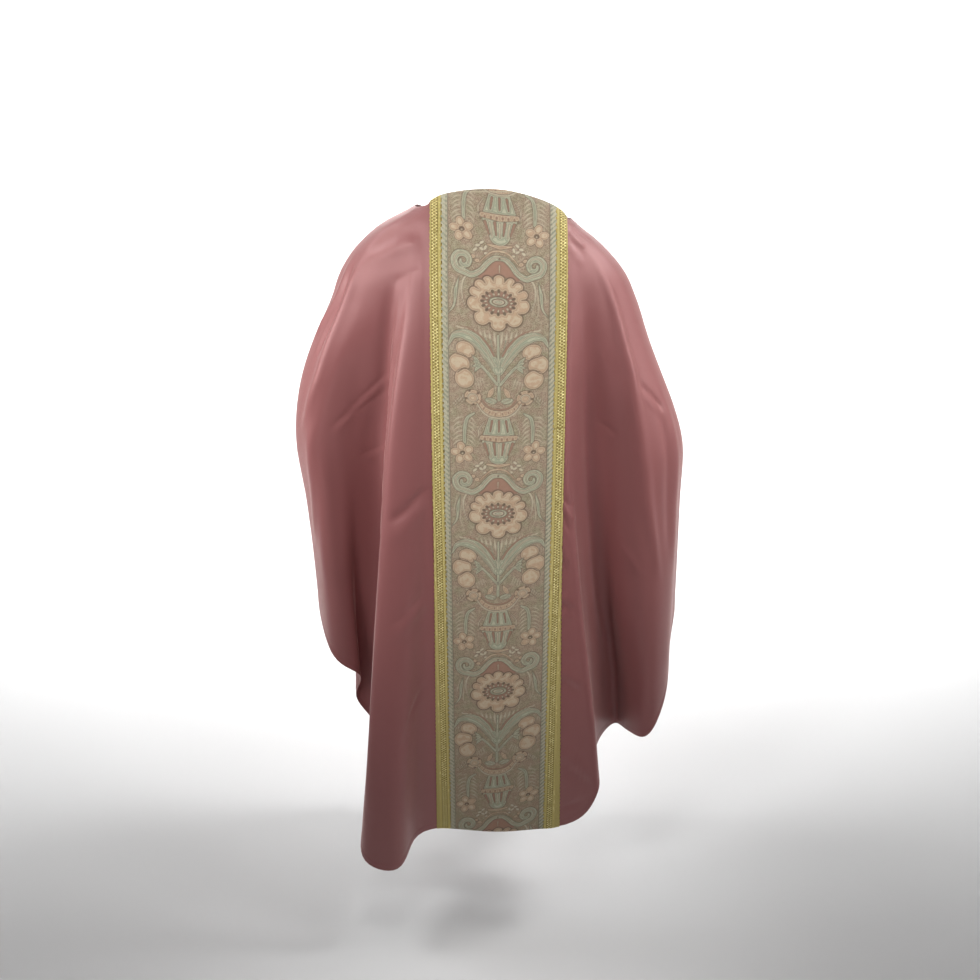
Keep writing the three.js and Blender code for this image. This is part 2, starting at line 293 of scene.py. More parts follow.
def smooth_through(
    places: Sequence[float], values: Sequence[float], at: Array, starts_level: bool = False
) -> Array:
    """A smooth curve through values at rising places, straight past both ends.

    Args:
        places: The rising places.
        values: The value at each place.
        at: Where to read the curve.
        starts_level: Whether the slope is nil at the first place.

    Returns:
        The values of the curve.
    """
    spots, heights = np.asarray(places, float), np.asarray(values, float)
    gaps = np.diff(spots)
    rises = np.diff(heights) / gaps
    slopes = np.concatenate(
        (
            [0.0 if starts_level else rises[0]],
            (rises[:-1] * gaps[1:] + rises[1:] * gaps[:-1]) / (gaps[1:] + gaps[:-1]),
            [rises[-1]],
        )
    )
    at = np.asarray(at, float)
    i = np.clip(np.searchsorted(spots, at, side="right") - 1, 0, len(gaps) - 1)
    t = (at - spots[i]) / gaps[i]
    inside = (
        (1 + 2 * t) * (1 - t) ** 2 * heights[i]
        + t * (1 - t) ** 2 * gaps[i] * slopes[i]
        + t * t * (3 - 2 * t) * heights[i + 1]
        + t * t * (t - 1) * gaps[i] * slopes[i + 1]
    )
    before = heights[0] + slopes[0] * (at - spots[0])
    after = heights[-1] + slopes[-1] * (at - spots[-1])
    return np.where(at <= spots[0], before, np.where(at >= spots[-1], after, inside))


def figure(column: int, drop: Array) -> Array:
    """One column of the figure's table at some drops."""
    return smooth_through(FIGURE[:, 0], FIGURE[:, column], drop)


def on_figure(line: FoldLine, drop: Array) -> Array:
    """Where a line crosses the smooth figure at some drops, as x and y."""
    on_left = (line.elbow[0] or 0) > 0
    if line.fan is None:
        x = np.full(np.shape(drop), float(line.plumb))
    else:
        seam = figure(1, drop) if on_left else -figure(2, drop)
        if line.in_front:
            edge = FRONT_EDGE_LEFT if on_left else FRONT_EDGE_RIGHT
        else:
            edge = BAND_LEFT if on_left else BAND_RIGHT
        x = edge + (seam - edge) * line.fan
    half = np.where(x > 0, figure(1, drop), figure(2, drop))
    depth = -figure(4, drop) if line.in_front else figure(3, drop)
    square = figure(5, drop)
    outward = np.minimum(1, np.abs(x) / half) ** square
    return np.stack((x, depth * (1 - outward) ** (1 / square)), -1)


def line_points(line: FoldLine, drop: Array) -> Array:
    """The points of a line at some drops, in mm."""
    base = on_figure(line, drop)
    elbow, hem = on_figure(line, np.array(ELBOW_DROP)), on_figure(line, np.array(line.hem_drop))
    places = (FOLDS_BEGIN, ELBOW_DROP, line.hem_drop)
    out = []
    for axis in (0, 1):
        at_elbow = elbow[axis] if line.elbow[axis] is None else line.elbow[axis]
        at_hem = hem[axis] if line.hem[axis] is None else line.hem[axis]
        values = (0, at_elbow - elbow[axis], at_hem - hem[axis])
        out.append(base[..., axis] + smooth_through(places, values, drop, True))
    return np.stack((*out, -drop), -1)


def ring_points(corners: Array, places: Array) -> Array:
    """Points on closed centripetal curves through the fold lines.

    Args:
        corners: The lines' points on each ring, (rings, lines, 3).
        places: Where to read the curves, counted in lines.

    Returns:
        The points, (rings, places, 3).
    """
    count = corners.shape[1]
    first = np.floor(places).astype(int)
    t = (places - first)[None, :, None]
    x0, x1, x2, x3 = (corners[:, (first + step) % count] for step in (-1, 0, 1, 2))
    dt0, dt1, dt2 = (
        np.linalg.norm(b - a, axis=-1, keepdims=True) ** 0.5 for a, b in ((x0, x1), (x1, x2), (x2, x3))
    )
    t1 = ((x1 - x0) / dt0 - (x2 - x0) / (dt0 + dt1) + (x2 - x1) / dt1) * dt1
    t2 = ((x2 - x1) / dt1 - (x3 - x1) / (dt1 + dt2) + (x3 - x2) / dt2) * dt1
    return (
        x1
        + t1 * t
        + (3 * (x2 - x1) - 2 * t1 - t2) * t**2
        + (2 * (x1 - x2) + t1 + t2) * t**3
    )


def cubic_weights(t: Array) -> tuple[Array, ...]:
    """The four weights of a cubic read between grid points, t along the middle gap."""
    return (
        -0.5 * t + t**2 - 0.5 * t**3,
        1 - 2.5 * t**2 + 1.5 * t**3,
        0.5 * t + 2 * t**2 - 1.5 * t**3,
        -0.5 * t**2 + 0.5 * t**3,
    )


def unit(vectors: Array) -> Array:
    """The vectors at length one."""
    return vectors / np.maximum(np.linalg.norm(vectors, axis=-1, keepdims=True), 1e-9)


def row_shares(rows: int, crowding: float) -> Array:
    """Shares of the length of the cloth from the neck to the hem, closer together at the neck."""
    return (np.arange(rows + 1) / rows) ** crowding


def normals_of(points: Array) -> Array:
    """Outward normals of a grid of points whose rows go down and columns go from left to right
    over the back."""
    down = np.gradient(points, axis=0)
    along = np.gradient(points, axis=1)
    return unit(np.cross(down, along))


def lengths_down(points: Array) -> Array:
    """The length from the first row to each point of a grid, down its column."""
    steps = np.linalg.norm(np.diff(points, axis=0), axis=-1)
    return np.concatenate((np.zeros((1, points.shape[1])), np.cumsum(steps, axis=0)))


@dataclass
class Drape:
    """The cloth's middle surface: rings through the fold lines, softened, with creases laid in."""

    rows: int = 261
    columns: int = 600
    soften_round: int = 10
    soften_down: int = 6
    fine_step: float = 0.02
    creases: tuple[Crease, ...] = CREASES
    grid: Array = field(init=False)
    places: Array = field(init=False)
    spread: Array = field(init=False)

    def __post_init__(self) -> None:
        """Works out the softened grid once."""
        shares = (np.arange(self.rows) / (self.rows - 1)) ** ROW_CROWDING
        corners = np.stack(
            [line_points(line, line.neck + (line.hem_drop - line.neck) * shares) for line in FOLD_LINES], 1
        )
        fine = np.arange(0, LINE_COUNT, self.fine_step)
        elbow_row = self.rows // 2
        ring = ring_points(corners[elbow_row : elbow_row + 1], fine)[0]
        round_length = lengths_down(np.vstack((ring, ring[:1]))[:, None])[:, 0]
        even = np.arange(self.columns) / self.columns * round_length[-1]
        self.places = np.interp(even, round_length, np.append(fine, LINE_COUNT))
        self.spread = round_length * MM
        self._fine = np.append(fine, LINE_COUNT)
        grid = ring_points(corners, self.places)
        for _ in range(self.soften_round):
            grid = (np.roll(grid, 1, 1) + 2 * grid + np.roll(grid, -1, 1)) / 4
        for _ in range(self.soften_down):
            grid[1:-1] = (grid[:-2] + 2 * grid[1:-1] + grid[2:]) / 4
        self.grid = grid
        self.knots = [self._knots(crease) for crease in self.creases]

    def around(self, places: Array) -> Array:
        """How far round the cloth some places are at the elbows, in metres."""
        return np.interp(places, self._fine, self.spread)

    def even_places(self, first: float, last: float, count: int) -> Array:
        """Places from one line to another, evenly spaced round the elbows."""
        ends = self.around(np.array([first, last]))
        return np.interp(np.linspace(ends[0], ends[1], count + 1), self.spread, self._fine)

    def sample(self, places: Array, shares: Array) -> Array:
        """The softened surface at a grid of shares (down) and places (round), in mm."""
        padded = np.concatenate(
            (2 * self.grid[:1] - self.grid[1:2], self.grid, 2 * self.grid[-1:] - self.grid[-2:-1])
        )
        down = np.clip(shares, 0, 1) ** (1 / ROW_CROWDING) * (self.rows - 1)
        row = np.clip(np.floor(down).astype(int), 0, self.rows - 2)
        weights = cubic_weights((down - row)[:, None, None])
        lines = sum(w * padded[row + step] for step, w in enumerate(weights))
        known = np.append(self.places, LINE_COUNT)
        across = np.interp(np.mod(places, LINE_COUNT), known, np.arange(self.columns + 1))
        column = np.floor(across).astype(int)
        weights = cubic_weights((across - column)[None, :, None])
        return sum(w * lines[:, (column + step - 1) % self.columns] for step, w in enumerate(weights))

    def _knots(self, crease: Crease) -> Array:
        """The points of a crease's path on the cloth, a few to each leg of it."""
        path = np.array(crease.path, float)
        legs = len(path) - 1
        steps = np.linspace(0, legs, legs * 4 + 1)
        places = np.interp(steps, np.arange(legs + 1), path[:, 0])
        drops = np.interp(steps, np.arange(legs + 1), path[:, 1])
        columns = self.sample(places, np.linspace(0, 1, 400)).transpose(1, 0, 2)
        return np.array(
            [
                [np.interp(drop, -column[:, 2], column[:, axis]) for axis in range(3)]
                for column, drop in zip(columns, drops)
            ]
        )

    def crease_heights(self, points: Array) -> Array:
        """How far the creases move points of the surface outward, in mm."""
        flat = points.reshape(-1, 3)
        heights = np.zeros(len(flat))
        for crease, knots in zip(self.creases, self.knots):
            reach = crease.width * 3
            near = np.nonzero(
                np.all((flat > knots.min(0) - reach) & (flat < knots.max(0) + reach), axis=1)
            )[0]
            if not len(near):
                continue
            spots = flat[near]
            best = np.full(len(near), 1e9)
            along = np.zeros(len(near))
            lengths = lengths_down(knots[:, None])[:, 0]
            for i, (start, end) in enumerate(zip(knots[:-1], knots[1:])):
                way = end - start
                t = np.clip((spots - start) @ way / max(way @ way, 1e-9), 0, 1)
                gap = np.linalg.norm(spots - (start + t[:, None] * way), axis=1)
                closer = gap < best
                best = np.where(closer, gap, best)
                along = np.where(closer, lengths[i] + t * (lengths[i + 1] - lengths[i]), along)
            share = along / max(lengths[-1], 1e-9)
            fade = np.ones(len(near))
            for past in (share, 1 - share):
                fade *= np.sin(np.clip(past / CREASE_FADE, 0, 1) * math.pi / 2) ** 2
            heights[near] += crease.rise * fade * np.exp(-0.5 * (best / (crease.width / 2)) ** 2)
        return heights.reshape(points.shape[:-1])

    def surface(self, places: Array, shares: Array) -> tuple[Array, Array]:
        """The creased surface and its outward normals, as (shares, places, 3) in mm."""
        points = self.sample(places, shares)
        points = points + normals_of(points) * self.crease_heights(points)[..., None]
        return points, normals_of(points)


# ---- Meshes ----


def placed(name: str, data: bpy.types.ID) -> bpy.types.Object:
    """An object of some data, linked to the scene."""
    made = bpy.data.objects.new(name, data)
    bpy.context.scene.collection.objects.link(made)
    return made


def linked(name: str, builder: bmesh.types.BMesh) -> bpy.types.Object:
    """A smooth object in the scene with the mesh that a builder holds, which is freed."""
    data = bpy.data.meshes.new(name)
    builder.to_mesh(data)
    builder.free()
    data.polygons.foreach_set("use_smooth", np.ones(len(data.polygons), bool))
    return placed(name, data)


def move_points(piece: bpy.types.Object, points: Array) -> None:
    """Puts a piece's vertices at points given in mm."""
    piece.data.vertices.foreach_set("co", (points * MM).astype(np.float32).ravel())


@dataclass
class Skin:
    """A grid of points of one piece with what its finish reads, rows going down."""

    points: Array
    uv: Array
    facts: dict[str, Array] = field(default_factory=dict)

    def turned(self, normals: Array, depth: float, radius: float, rings: int = 3) -> Skin:
        """The same grid with its four edges rounded over and turned in.

        Args:
            normals: The outward normals of the grid.
            depth: How far in from the skin the edge ends, in mm.
            radius: The radius of the rounding, in mm.
            rings: How many rows the rounding takes.

        Returns:
            The larger grid.
        """
        rows, columns = self.points.shape[:2]
        pad = rings + 1

        def grown(values: Array) -> Array:
            """The values with copies of their edges all round."""
            more = ((pad, pad), (pad, pad)) + ((0, 0),) * (values.ndim - 2)
            return np.pad(values, more, mode="edge")

        def ring_numbers(count: int) -> tuple[Array, Array]:
            """How many rows past the edge each is, and on which side."""
            i = np.arange(count + 2 * pad)
            before, after = np.maximum(pad - i, 0), np.maximum(i - (pad + count - 1), 0)
            return np.maximum(before, after), np.where(after > 0, 1.0, np.where(before > 0, -1.0, 0.0))

        row_number, row_side = ring_numbers(rows)
        column_number, column_side = ring_numbers(columns)
        angle = np.minimum(np.arange(pad + 1), rings) / rings * (math.pi / 2)
        out = radius * np.sin(angle)
        deep = radius * (1 - np.cos(angle))
        deep[pad] = depth
        along = unit(np.gradient(self.points, axis=1))
        down = unit(np.gradient(self.points, axis=0))
        number = np.maximum(row_number[:, None], column_number[None, :])
        moved = (
            grown(self.points)
            + grown(along) * (out[column_number] * column_side)[None, :, None]
            + grown(down) * (out[row_number] * row_side)[:, None, None]
            - grown(normals) * deep[number][..., None]
        )
        return Skin(moved, grown(self.uv), {name: grown(values) for name, values in self.facts.items()})

    def mesh(self, name: str) -> bpy.types.Object:
        """An object of the grid, in metres, with its UV map and its facts as attributes."""
        rows, columns = self.points.shape[:2]
        builder = bmesh.new()
        bmesh.ops.create_grid(builder, x_segments=columns - 1, y_segments=rows - 1, size=1)
        piece = linked(name, builder)
        move_points(piece, self.points[::-1])
        data = piece.data
        corner_vertex = np.zeros(len(data.loops), np.int32)
        data.loops.foreach_get("vertex_index", corner_vertex)
        layer = data.uv_layers.new(name="cloth")
        uv = self.uv[::-1].reshape(-1, 2)[corner_vertex]
        layer.data.foreach_set("uv", uv.astype(np.float32).ravel())
        for fact, values in self.facts.items():
            attribute = data.attributes.new(fact, "FLOAT", "POINT")
            attribute.data.foreach_set("value", values[::-1].reshape(-1).astype(np.float32))
        data.update()
        return piece


# ---- Finishes ----

Value = Union["Wire", float, Sequence[float]]


class Board:
    """The nodes of one finish."""

    def __init__(self, name: str) -> None:
        """Makes a material with its shader ready."""
        self.material = bpy.data.materials.new(name)
        self.material.use_nodes = True
        self.tree = self.material.node_tree
        self.shader = self.tree.nodes["Principled BSDF"]

    def node(
        self, kind: str, settings: Mapping[str, Any] | None = None, sockets: Mapping[Any, Value] | None = None
    ) -> bpy.types.Node:
        """Adds a node.

        Args:
            kind: The node's type without its "ShaderNode".
            settings: Its properties, set first.
            sockets: The values or links of its inputs, by name or number.

        Returns:
            The node.
        """
        made = self.tree.nodes.new("ShaderNode" + kind)
        for name, value in (settings or {}).items():
            setattr(made, name, value)
        for key, value in (sockets or {}).items():
            self.feed(made.inputs[key], value)
        return made

    def feed(self, socket: bpy.types.NodeSocket, value: Value) -> None:
        """Links or sets one input."""
        if isinstance(value, Wire):
            self.tree.links.new(value.socket, socket)
        else:
            socket.default_value = value

    def read(self, attribute: str) -> Wire:
        """A fact that the piece's vertices carry."""
        node = self.node("Attribute", {"attribute_name": attribute})
        return Wire(self, node.outputs["Fac"])

    def uv(self) -> Wire:
        """The piece's UV map, in metres round and down the cloth."""
        return Wire(self, self.node("UVMap", {"uv_map": "cloth"}).outputs["UV"])

    def split(self, vector: Wire) -> tuple[Wire, Wire, Wire]:
        """The three parts of a vector."""
        node = self.node("SeparateXYZ", None, {0: vector})
        return tuple(Wire(self, out) for out in node.outputs)

    def noise(self, place: Wire, scale: float, detail: float = 2.0, rough: float = 0.5) -> Wire:
        """Smooth noise of a scale per metre."""
        sockets = {"Vector": place, "Scale": scale, "Detail": detail, "Roughness": rough}
        node = self.node("TexNoise", None, sockets)
        return Wire(self, node.outputs["Fac"])

    def streaks(self, place: Wire, round_scale: float, down_scale: float, detail: float) -> Wire:
        """Smooth noise with one scale round the cloth and another down it."""
        scales = (round_scale, down_scale, 1.0)
        node = self.node("VectorMath", {"operation": "MULTIPLY"}, {0: place, 1: scales})
        return self.noise(Wire(self, node.outputs[0]), 1.0, detail)

    def blend(self, mask: Value, under: Value, over: Value) -> Wire:
        """One colour over another by a mask."""
        node = self.node("Mix", {"data_type": "RGBA"}, {0: mask, 6: under, 7: over})
        return Wire(self, node.outputs[2])

    def bump(self, height: Wire, distance: float, strength: float) -> Wire:
        """A normal from a height map, distance in metres."""
        node = self.node("Bump", None, {"Height": height, "Distance": distance, "Strength": strength})
        return Wire(self, node.outputs["Normal"])

    def set(self, **values: Value) -> None:
        """Sets or links inputs of the shader, with spaces written as underscores."""
        for name, value in values.items():
            self.feed(self.shader.inputs[name.replace("_", " ")], value)


def _operator(operation: str, swapped: bool = False) -> Callable[[Wire, Value], Wire]:
    """A method of Wire that adds a Math node over the wire and another value.

    Args:
        operation: The Math node's operation.
        swapped: Whether the other value comes first.

    Returns:
        The method.
    """

    def method(self: Wire, other: Value) -> Wire:
        """The Math node's result."""
        return self._math(operation, *((other, self) if swapped else (self, other)))

    return method


class Wire:
    """A value in a finish that takes part in arithmetic."""

    def __init__(self, board: Board, socket: bpy.types.NodeSocket) -> None:
        """Wraps a node's output."""
        self.board, self.socket = board, socket

    def _math(self, operation: str, *values: Value, clamp: bool = False) -> Wire:
        """Adds a Math node over some values."""
        node = self.board.node("Math", {"operation": operation, "use_clamp": clamp}, dict(enumerate(values)))
        return Wire(self.board, node.outputs[0])

    __add__ = __radd__ = _operator("ADD")
    __sub__, __rsub__ = _operator("SUBTRACT"), _operator("SUBTRACT", swapped=True)
    __mul__ = __rmul__ = _operator("MULTIPLY")
    __truediv__ = _operator("DIVIDE")

    def sine(self) -> Wire:
        """Its sine."""
        return self._math("SINE", self)

    def ribs(self, pitch: float) -> Wire:
        """A wave that repeats at a pitch in metres."""
        return (self * (2 * math.pi / pitch)).sine()

    def most(self, other: Value) -> Wire:
        """The larger of this and another."""
        return self._math("MAXIMUM", self, other)

    def held(self) -> Wire:
        """Itself, held between 0 and 1."""
        return self._math("ADD", self, 0.0, clamp=True)


@dataclass(frozen=True)
class RoseSatin:
    """Dusty rose satin with a soft sheen and a fine thread."""

    colour: Colour = (0.215, 0.074, 0.072, 1)
    deep: Colour = (0.185, 0.060, 0.060, 1)
    roughness: float = 0.47
    sheen: float = 0.5
    thread: float = 0.0009

    def material(self) -> bpy.types.Material:
        """Makes the finish."""
        board = Board("rose satin")
        place = board.uv()
        u, v, _ = board.split(place)
        cloudy = board.noise(place, 7.0, 3.0)
        slub = board.streaks(place, 900.0, 55.0, 2.0)
        weft = board.streaks(place, 45.0, 1100.0, 2.0)
        tone = (cloudy * 0.5 + slub * 0.25 + weft * 0.25).held()
        colour = board.blend(tone, self.deep, self.colour)
        ribs = u.ribs(self.thread) * 0.25 + v.ribs(self.thread) * 0.25
        grain = slub * 0.6 + weft * 0.6 + ribs
        board.set(
            Base_Color=colour,
            Roughness=self.roughness + (slub - 0.5) * 0.08,
            Normal=board.bump(grain, 0.00012, 0.35),
            Sheen_Weight=self.sheen,
            Sheen_Roughness=0.38,
            Sheen_Tint=(1.0, 0.68, 0.64, 1.0),
            Specular_IOR_Level=0.85,
            Specular_Tint=(1.0, 0.72, 0.70, 1.0),
            Anisotropic=0.35,
        )
        return board.material


@dataclass(frozen=True)
class FloralTapestry:
    """Woven tapestry whose vertices carry the pattern as distances in mm from its edges."""

    ground: Colour = (0.38, 0.285, 0.20, 1)
    ground_deep: Colour = (0.165, 0.110, 0.075, 1)
    ground_green: Colour = (0.33, 0.305, 0.19, 1)
    leaf: Colour = (0.325, 0.37, 0.26, 1)
    bloom: Colour = (0.51, 0.35, 0.225, 1)
    rose: Colour = (0.32, 0.165, 0.115, 1)
    line: Colour = (0.075, 0.042, 0.032, 1)
    pale: Colour = (0.60, 0.54, 0.39, 1)
    thread: float = 0.0011

    def material(self) -> bpy.types.Material:
        """Makes the finish."""
        board = Board("floral tapestry")
        place = board.uv()
        u, v, _ = board.split(place)
        speckle = board.noise(place, 620.0, 2.0, 0.6)
        mottle = board.noise(place, 130.0, 3.0, 0.6)
        hue = board.noise(place, 45.0, 2.0)
        ground = board.blend(((hue - 0.4) * 4.0).held(), self.ground, self.ground_green)
        colour = board.blend(((speckle - 0.5) * 3.2 + 0.6).held(), self.ground_deep, ground)
        colour = board.blend(((mottle - 0.48) * 2.6).held() * 0.5, colour, self.pale)
        raised: Wire | None = None
        ragged = (speckle - 0.5) * 1.3
        wander = board.noise(place, 70.0, 2.0) * 9.0
        for fact in ("leaf", "rose", "bloom", "pale", "line"):
            tint, inside = getattr(self, fact), board.read(fact)
            mask = (inside / 1.2 + 0.5 + ragged).held()
            shade = 0.60 - (inside / 4.0).held() * 0.5 + (speckle - 0.5) * 1.5
            shaded = board.blend(shade.held() * (0.2 if fact == "line" else 0.65), tint, self.ground_deep)
            if fact in ("leaf", "bloom"):
                veins = (inside * 2.3 + wander).sine()
                shaded = board.blend((veins - 0.35).held() * 0.75, shaded, self.pale)
                shaded = board.blend((veins * -1.0 - 0.45).held() * 0.6, shaded, self.ground_deep)
            colour = board.blend(mask * (0.72 if fact == "line" else 0.86), colour, shaded)
            if fact != "line":
                raised = mask if raised is None else raised.most(mask)
        warp, weft = u.ribs(self.thread), v.ribs(self.thread * 0.8)
        colour = board.blend((warp * weft * 0.5 + 0.5).held() * 0.22, colour, self.ground_deep)
        height = warp * weft * 0.5 + speckle * 0.8 + raised * 0.8
        board.set(
            Base_Color=colour,
            Roughness=0.82 - raised * 0.1,
            Normal=board.bump(height, 0.0004, 0.6),
            Sheen_Weight=0.15,
            Specular_IOR_Level=0.3,
        )
        return board.material


@dataclass(frozen=True)
class GoldBraid:
    """Metal thread braid: raised cords over a duller woven ground, with painted highlights and glints on the
    cords and painted shade in the gaps between them.
    """

    # highlight: the colour of the painted highlights and glints
    bright: Colour = (0.96, 0.86, 0.42, 1)
    base: Colour = (0.44, 0.35, 0.105, 1)
    # shade: the colour of the painted shade in the gaps between the cords
    shade: Colour = (0.15, 0.10, 0.018, 1)
    thread: float = 0.00095

    def material(self) -> bpy.types.Material:
        """Makes the finish."""
        board = Board("gold braid")
        place = board.uv()
        u, v, _ = board.split(place)
        cord = board.read("cord")
        pit_shade = board.read("pit_shade")
        glint = board.noise(place, 900.0, 1.0)
        flash = board.streaks(place, 160.0, 95.0, 1.0)
        # painted highlight: the raised cords and drifting streaks of flash are painted lighter, as light that
        # the metal thread catches
        colour = board.blend((cord * 1.9 - 0.75 + (flash - 0.5) * 2.3).held(), self.base, self.bright)
        # painted glints: small specks in the highlight colour
        colour = board.blend(((glint - 0.45) * 3.0).held() * 0.5, colour, self.bright)
        # painted shade: the gaps between the cords are painted dark, where shade falls
        colour = board.blend(pit_shade.held() * 0.8, colour, self.shade)
        weft, warp = v.ribs(self.thread), u.ribs(self.thread * 1.3)
        height = weft * 0.5 + warp * 0.25 + glint * 0.8
        board.set(
            Base_Color=colour,
            Metallic=0.35,
            Roughness=(0.48 - cord * 0.14).held(),
            Normal=board.bump(height, 0.0004, 0.7),
        )
        return board.material


@dataclass(frozen=True)
class SewingThread:
    """Plain twisted thread."""

    colour: Colour = (0.50, 0.35, 0.08, 1)

    def material(self) -> bpy.types.Material:
        """Makes the finish."""
        board = Board("sewing thread")
        place = Wire(board, board.node("TexCoord").outputs["Object"])
        fuzz = board.noise(place, 2400.0, 2.0)
        dark = tuple(0.55 * part for part in self.colour[:3]) + (1.0,)
        board.set(
            Base_Color=board.blend(fuzz, dark, self.colour),
            Roughness=0.6,
            Normal=board.bump(fuzz, 0.0002, 0.6),
        )
        return board.material


# ---- The ornament of the band ----


class Tint(Enum):
    """The yarns of the pattern."""

    LEAF = "leaf"
    BLOOM = "bloom"
    ROSE = "rose"
    PALE = "pale"
    LINE = "line"


LEAF, BLOOM, ROSE, PALE, LINE = Tint


class Ornament:
    """The band's traditional pattern of roses, scrolls and urns, drawn with plain formulas.

    One repeat is mirrored about the band's middle. Places are in mm: x from the middle, y down
    from the centre of the rosette, drawn REPEAT long and woven WOVEN long. Each yarn keeps a
    field of distances, above nil inside.
    """

    REPEAT = 390.0
    WOVEN = 378.5
    FIRST_ROSETTE = 188.5
    FIELD_HALF = 86.0

    def __init__(self, across: Array, down: Array) -> None:
        """Takes the places of the band's vertices and draws the whole pattern on them."""
        sway = 0.9 * np.sin(down / 47.0) + 0.5 * np.sin(across / 23.0 + down / 61.0)
        self.x = np.abs(across + sway)
        slant = 0.094 * across * (1 - (down - 120) / 385)
        woven = down + slant + 0.8 * np.sin(across / 31.0) + 1.1 * np.sin(across / 90.0 + down / 140.0)
        self.down = (woven - self.FIRST_ROSETTE) * self.REPEAT / self.WOVEN
        self.fields = {tint: np.full(across.shape, -9.0) for tint in Tint}
        self.relief = np.zeros(across.shape)
        self._draw()
        self._borders(across, down)

    def _off(self, y: float) -> Array:
        """How far below y each place is, in the nearest repeat."""
        half = self.REPEAT / 2
        return (self.down - y + half) % self.REPEAT - half

    def paint(self, tint: Tint, shape: Array, outline: float = 0.0) -> None:
        """Lays a shape over what is there, with an outline of a width if given."""
        for other in Tint:
            if other is tint:
                self.fields[other] = np.maximum(self.fields[other], shape)
            else:
                self.fields[other] = np.minimum(self.fields[other], -shape)
        if outline:
            edge = outline / 2 - np.abs(shape + outline / 4)
            self.fields[LINE] = np.maximum(self.fields[LINE], edge)

    def ellipse(self, x: float, y: float, wide: float, high: float, turn: float = 0.0) -> Array:
        """The field of an ellipse of half-sizes wide and high, turned by degrees."""
        dx, dy = self.x - x, self._off(y)
        c, s = math.cos(math.radians(turn)), math.sin(math.radians(turn))
        a, b = dx * c + dy * s, dy * c - dx * s
        size = np.hypot(a / wide, b / high)
        return (1 - size) * np.hypot(a, b) / np.maximum(size, 1e-6) + (size < 1e-6) * min(wide, high)

    def stroke(self, path: Path, widths: Sequence[float]) -> Array:
        """The field of a brush stroke along a smooth path, with half-widths from end to end."""
        knots = np.array(path, float)
        count = len(knots)
        if count > 2:
            steps = np.linspace(0, count - 1, (count - 1) * 5 + 1)
            spots = np.arange(count)
            knots = np.stack([smooth_through(spots, knots[:, axis], steps) for axis in (0, 1)], -1)
        half = np.interp(np.linspace(0, 1, len(knots)), np.linspace(0, 1, len(widths)), widths)
        base = float(path[0][1])
        dx, dy = self.x, self._off(base)
        best = np.full(self.x.shape, -9.0)
        for (x0, y0), (x1, y1), w0, w1 in zip(knots[:-1], knots[1:], half[:-1], half[1:]):
            wx, wy = x1 - x0, y1 - y0
            px, py = dx - x0, dy - (y0 - base)
            t = np.clip((px * wx + py * wy) / max(wx * wx + wy * wy, 1e-9), 0, 1)
            best = np.maximum(best, w0 + (w1 - w0) * t - np.hypot(px - wx * t, py - wy * t))
        return best

    def brush(self, tint: Tint, path: Path, widths: Sequence[float], outline: float = 0.0) -> None:
        """Paints a brush stroke along a path, with half-widths from end to end."""
        self.paint(tint, self.stroke(path, widths), outline)

    def spot(self, tint: Tint, *shape: float, outline: float = 0.0) -> None:
        """Paints an ellipse of a place, two half-sizes and a turn in degrees."""
        self.paint(tint, self.ellipse(*shape), outline)

    def _draw(self) -> None:
        """Draws the repeat from what lies lowest to what lies on top."""
        self._fronds()
        self._arching_leaves()
        self._side_blooms()
        self._vase()
        self._side_sprays()
        self._scrolls()
        self._rosette()

    def _fronds(self) -> None:
        """The feathery strokes under the rosette and the thin leaves beside it."""
        for i in range(9):
            x = 4.0 + 7.4 * i
            top, foot = 52.0 - 0.9 * i + 0.07 * i * i, 78.0 - 3.3 * i
            lean = 3.0 + 0.8 * i
            middle = (x + lean * 0.6, (top + foot) / 2)
            self.brush(PALE, [(x, foot), middle, (x + lean, top)], (0.8, 2.2, 0.7))
        for i in range(7):
            x = 8.0 + 8.6 * i
            self.brush(LEAF, [(x, 88.0 - 3.8 * i), (x + 5, 66.0 - 1.6 * i)], (0.6, 1.4))
        self.brush(PALE, [(40, -46), (56, -36), (62, -20), (61, 0), (55, 16)], (1.2, 1.9, 1.5, 0.7), 0.7)
        self.brush(LEAF, [(67, -34), (72, -12), (75, 14), (86, 30)], (0.8, 3.4, 2.2, 0.8), 0.9)
        self.brush(PALE, [(64, -28), (67, -6), (68, 18), (62, 34)], (0.6, 1.1, 0.5))
        self.brush(PALE, [(73, -32), (79, -8), (81, 8)], (0.5, 1.0, 0.5))

    def _arching_leaves(self) -> None:
        """The V of two arching leaves, the main stem and its small base leaves."""
        leaf = [(2, 124), (15, 96), (33, 74), (56, 62), (76, 66), (86, 84)]
        self.brush(LEAF, leaf, (5, 11, 12, 9, 5, 1.5), 0.9)
        self.brush(PALE, [(6, 112), (20, 88), (40, 66), (60, 58), (78, 62)], (0.5, 1.1, 0.6))
        self.brush(PALE, [(10, 116), (26, 94), (46, 76), (66, 70)], (0.4, 0.8, 0.4))
        self.brush(ROSE, [(7, 94), (17, 76), (33, 59), (52, 50), (68, 49)], (1.6, 1.7, 1.2, 0.6))
        for i in range(5):
            x = 64.0 + 4.6 * i
            self.brush(PALE, [(x, 76 + 2 * i), (x + 1.5, 88 + 1.5 * i)], (1.0, 0.4))
        self.brush(LEAF, [(0, 58), (0, 172)], (2.2, 3.2), 0.8)
        self.brush(BLOOM, [(9, 150), (14, 160), (18, 168)], (1.0, 5.0, 3.0), 0.9)
        self.spot(LEAF, 14, 175, 11, 5.5, -12, outline=0.9)
        self.brush(PALE, [(6, 178), (20, 172)], (0.5, 0.5))

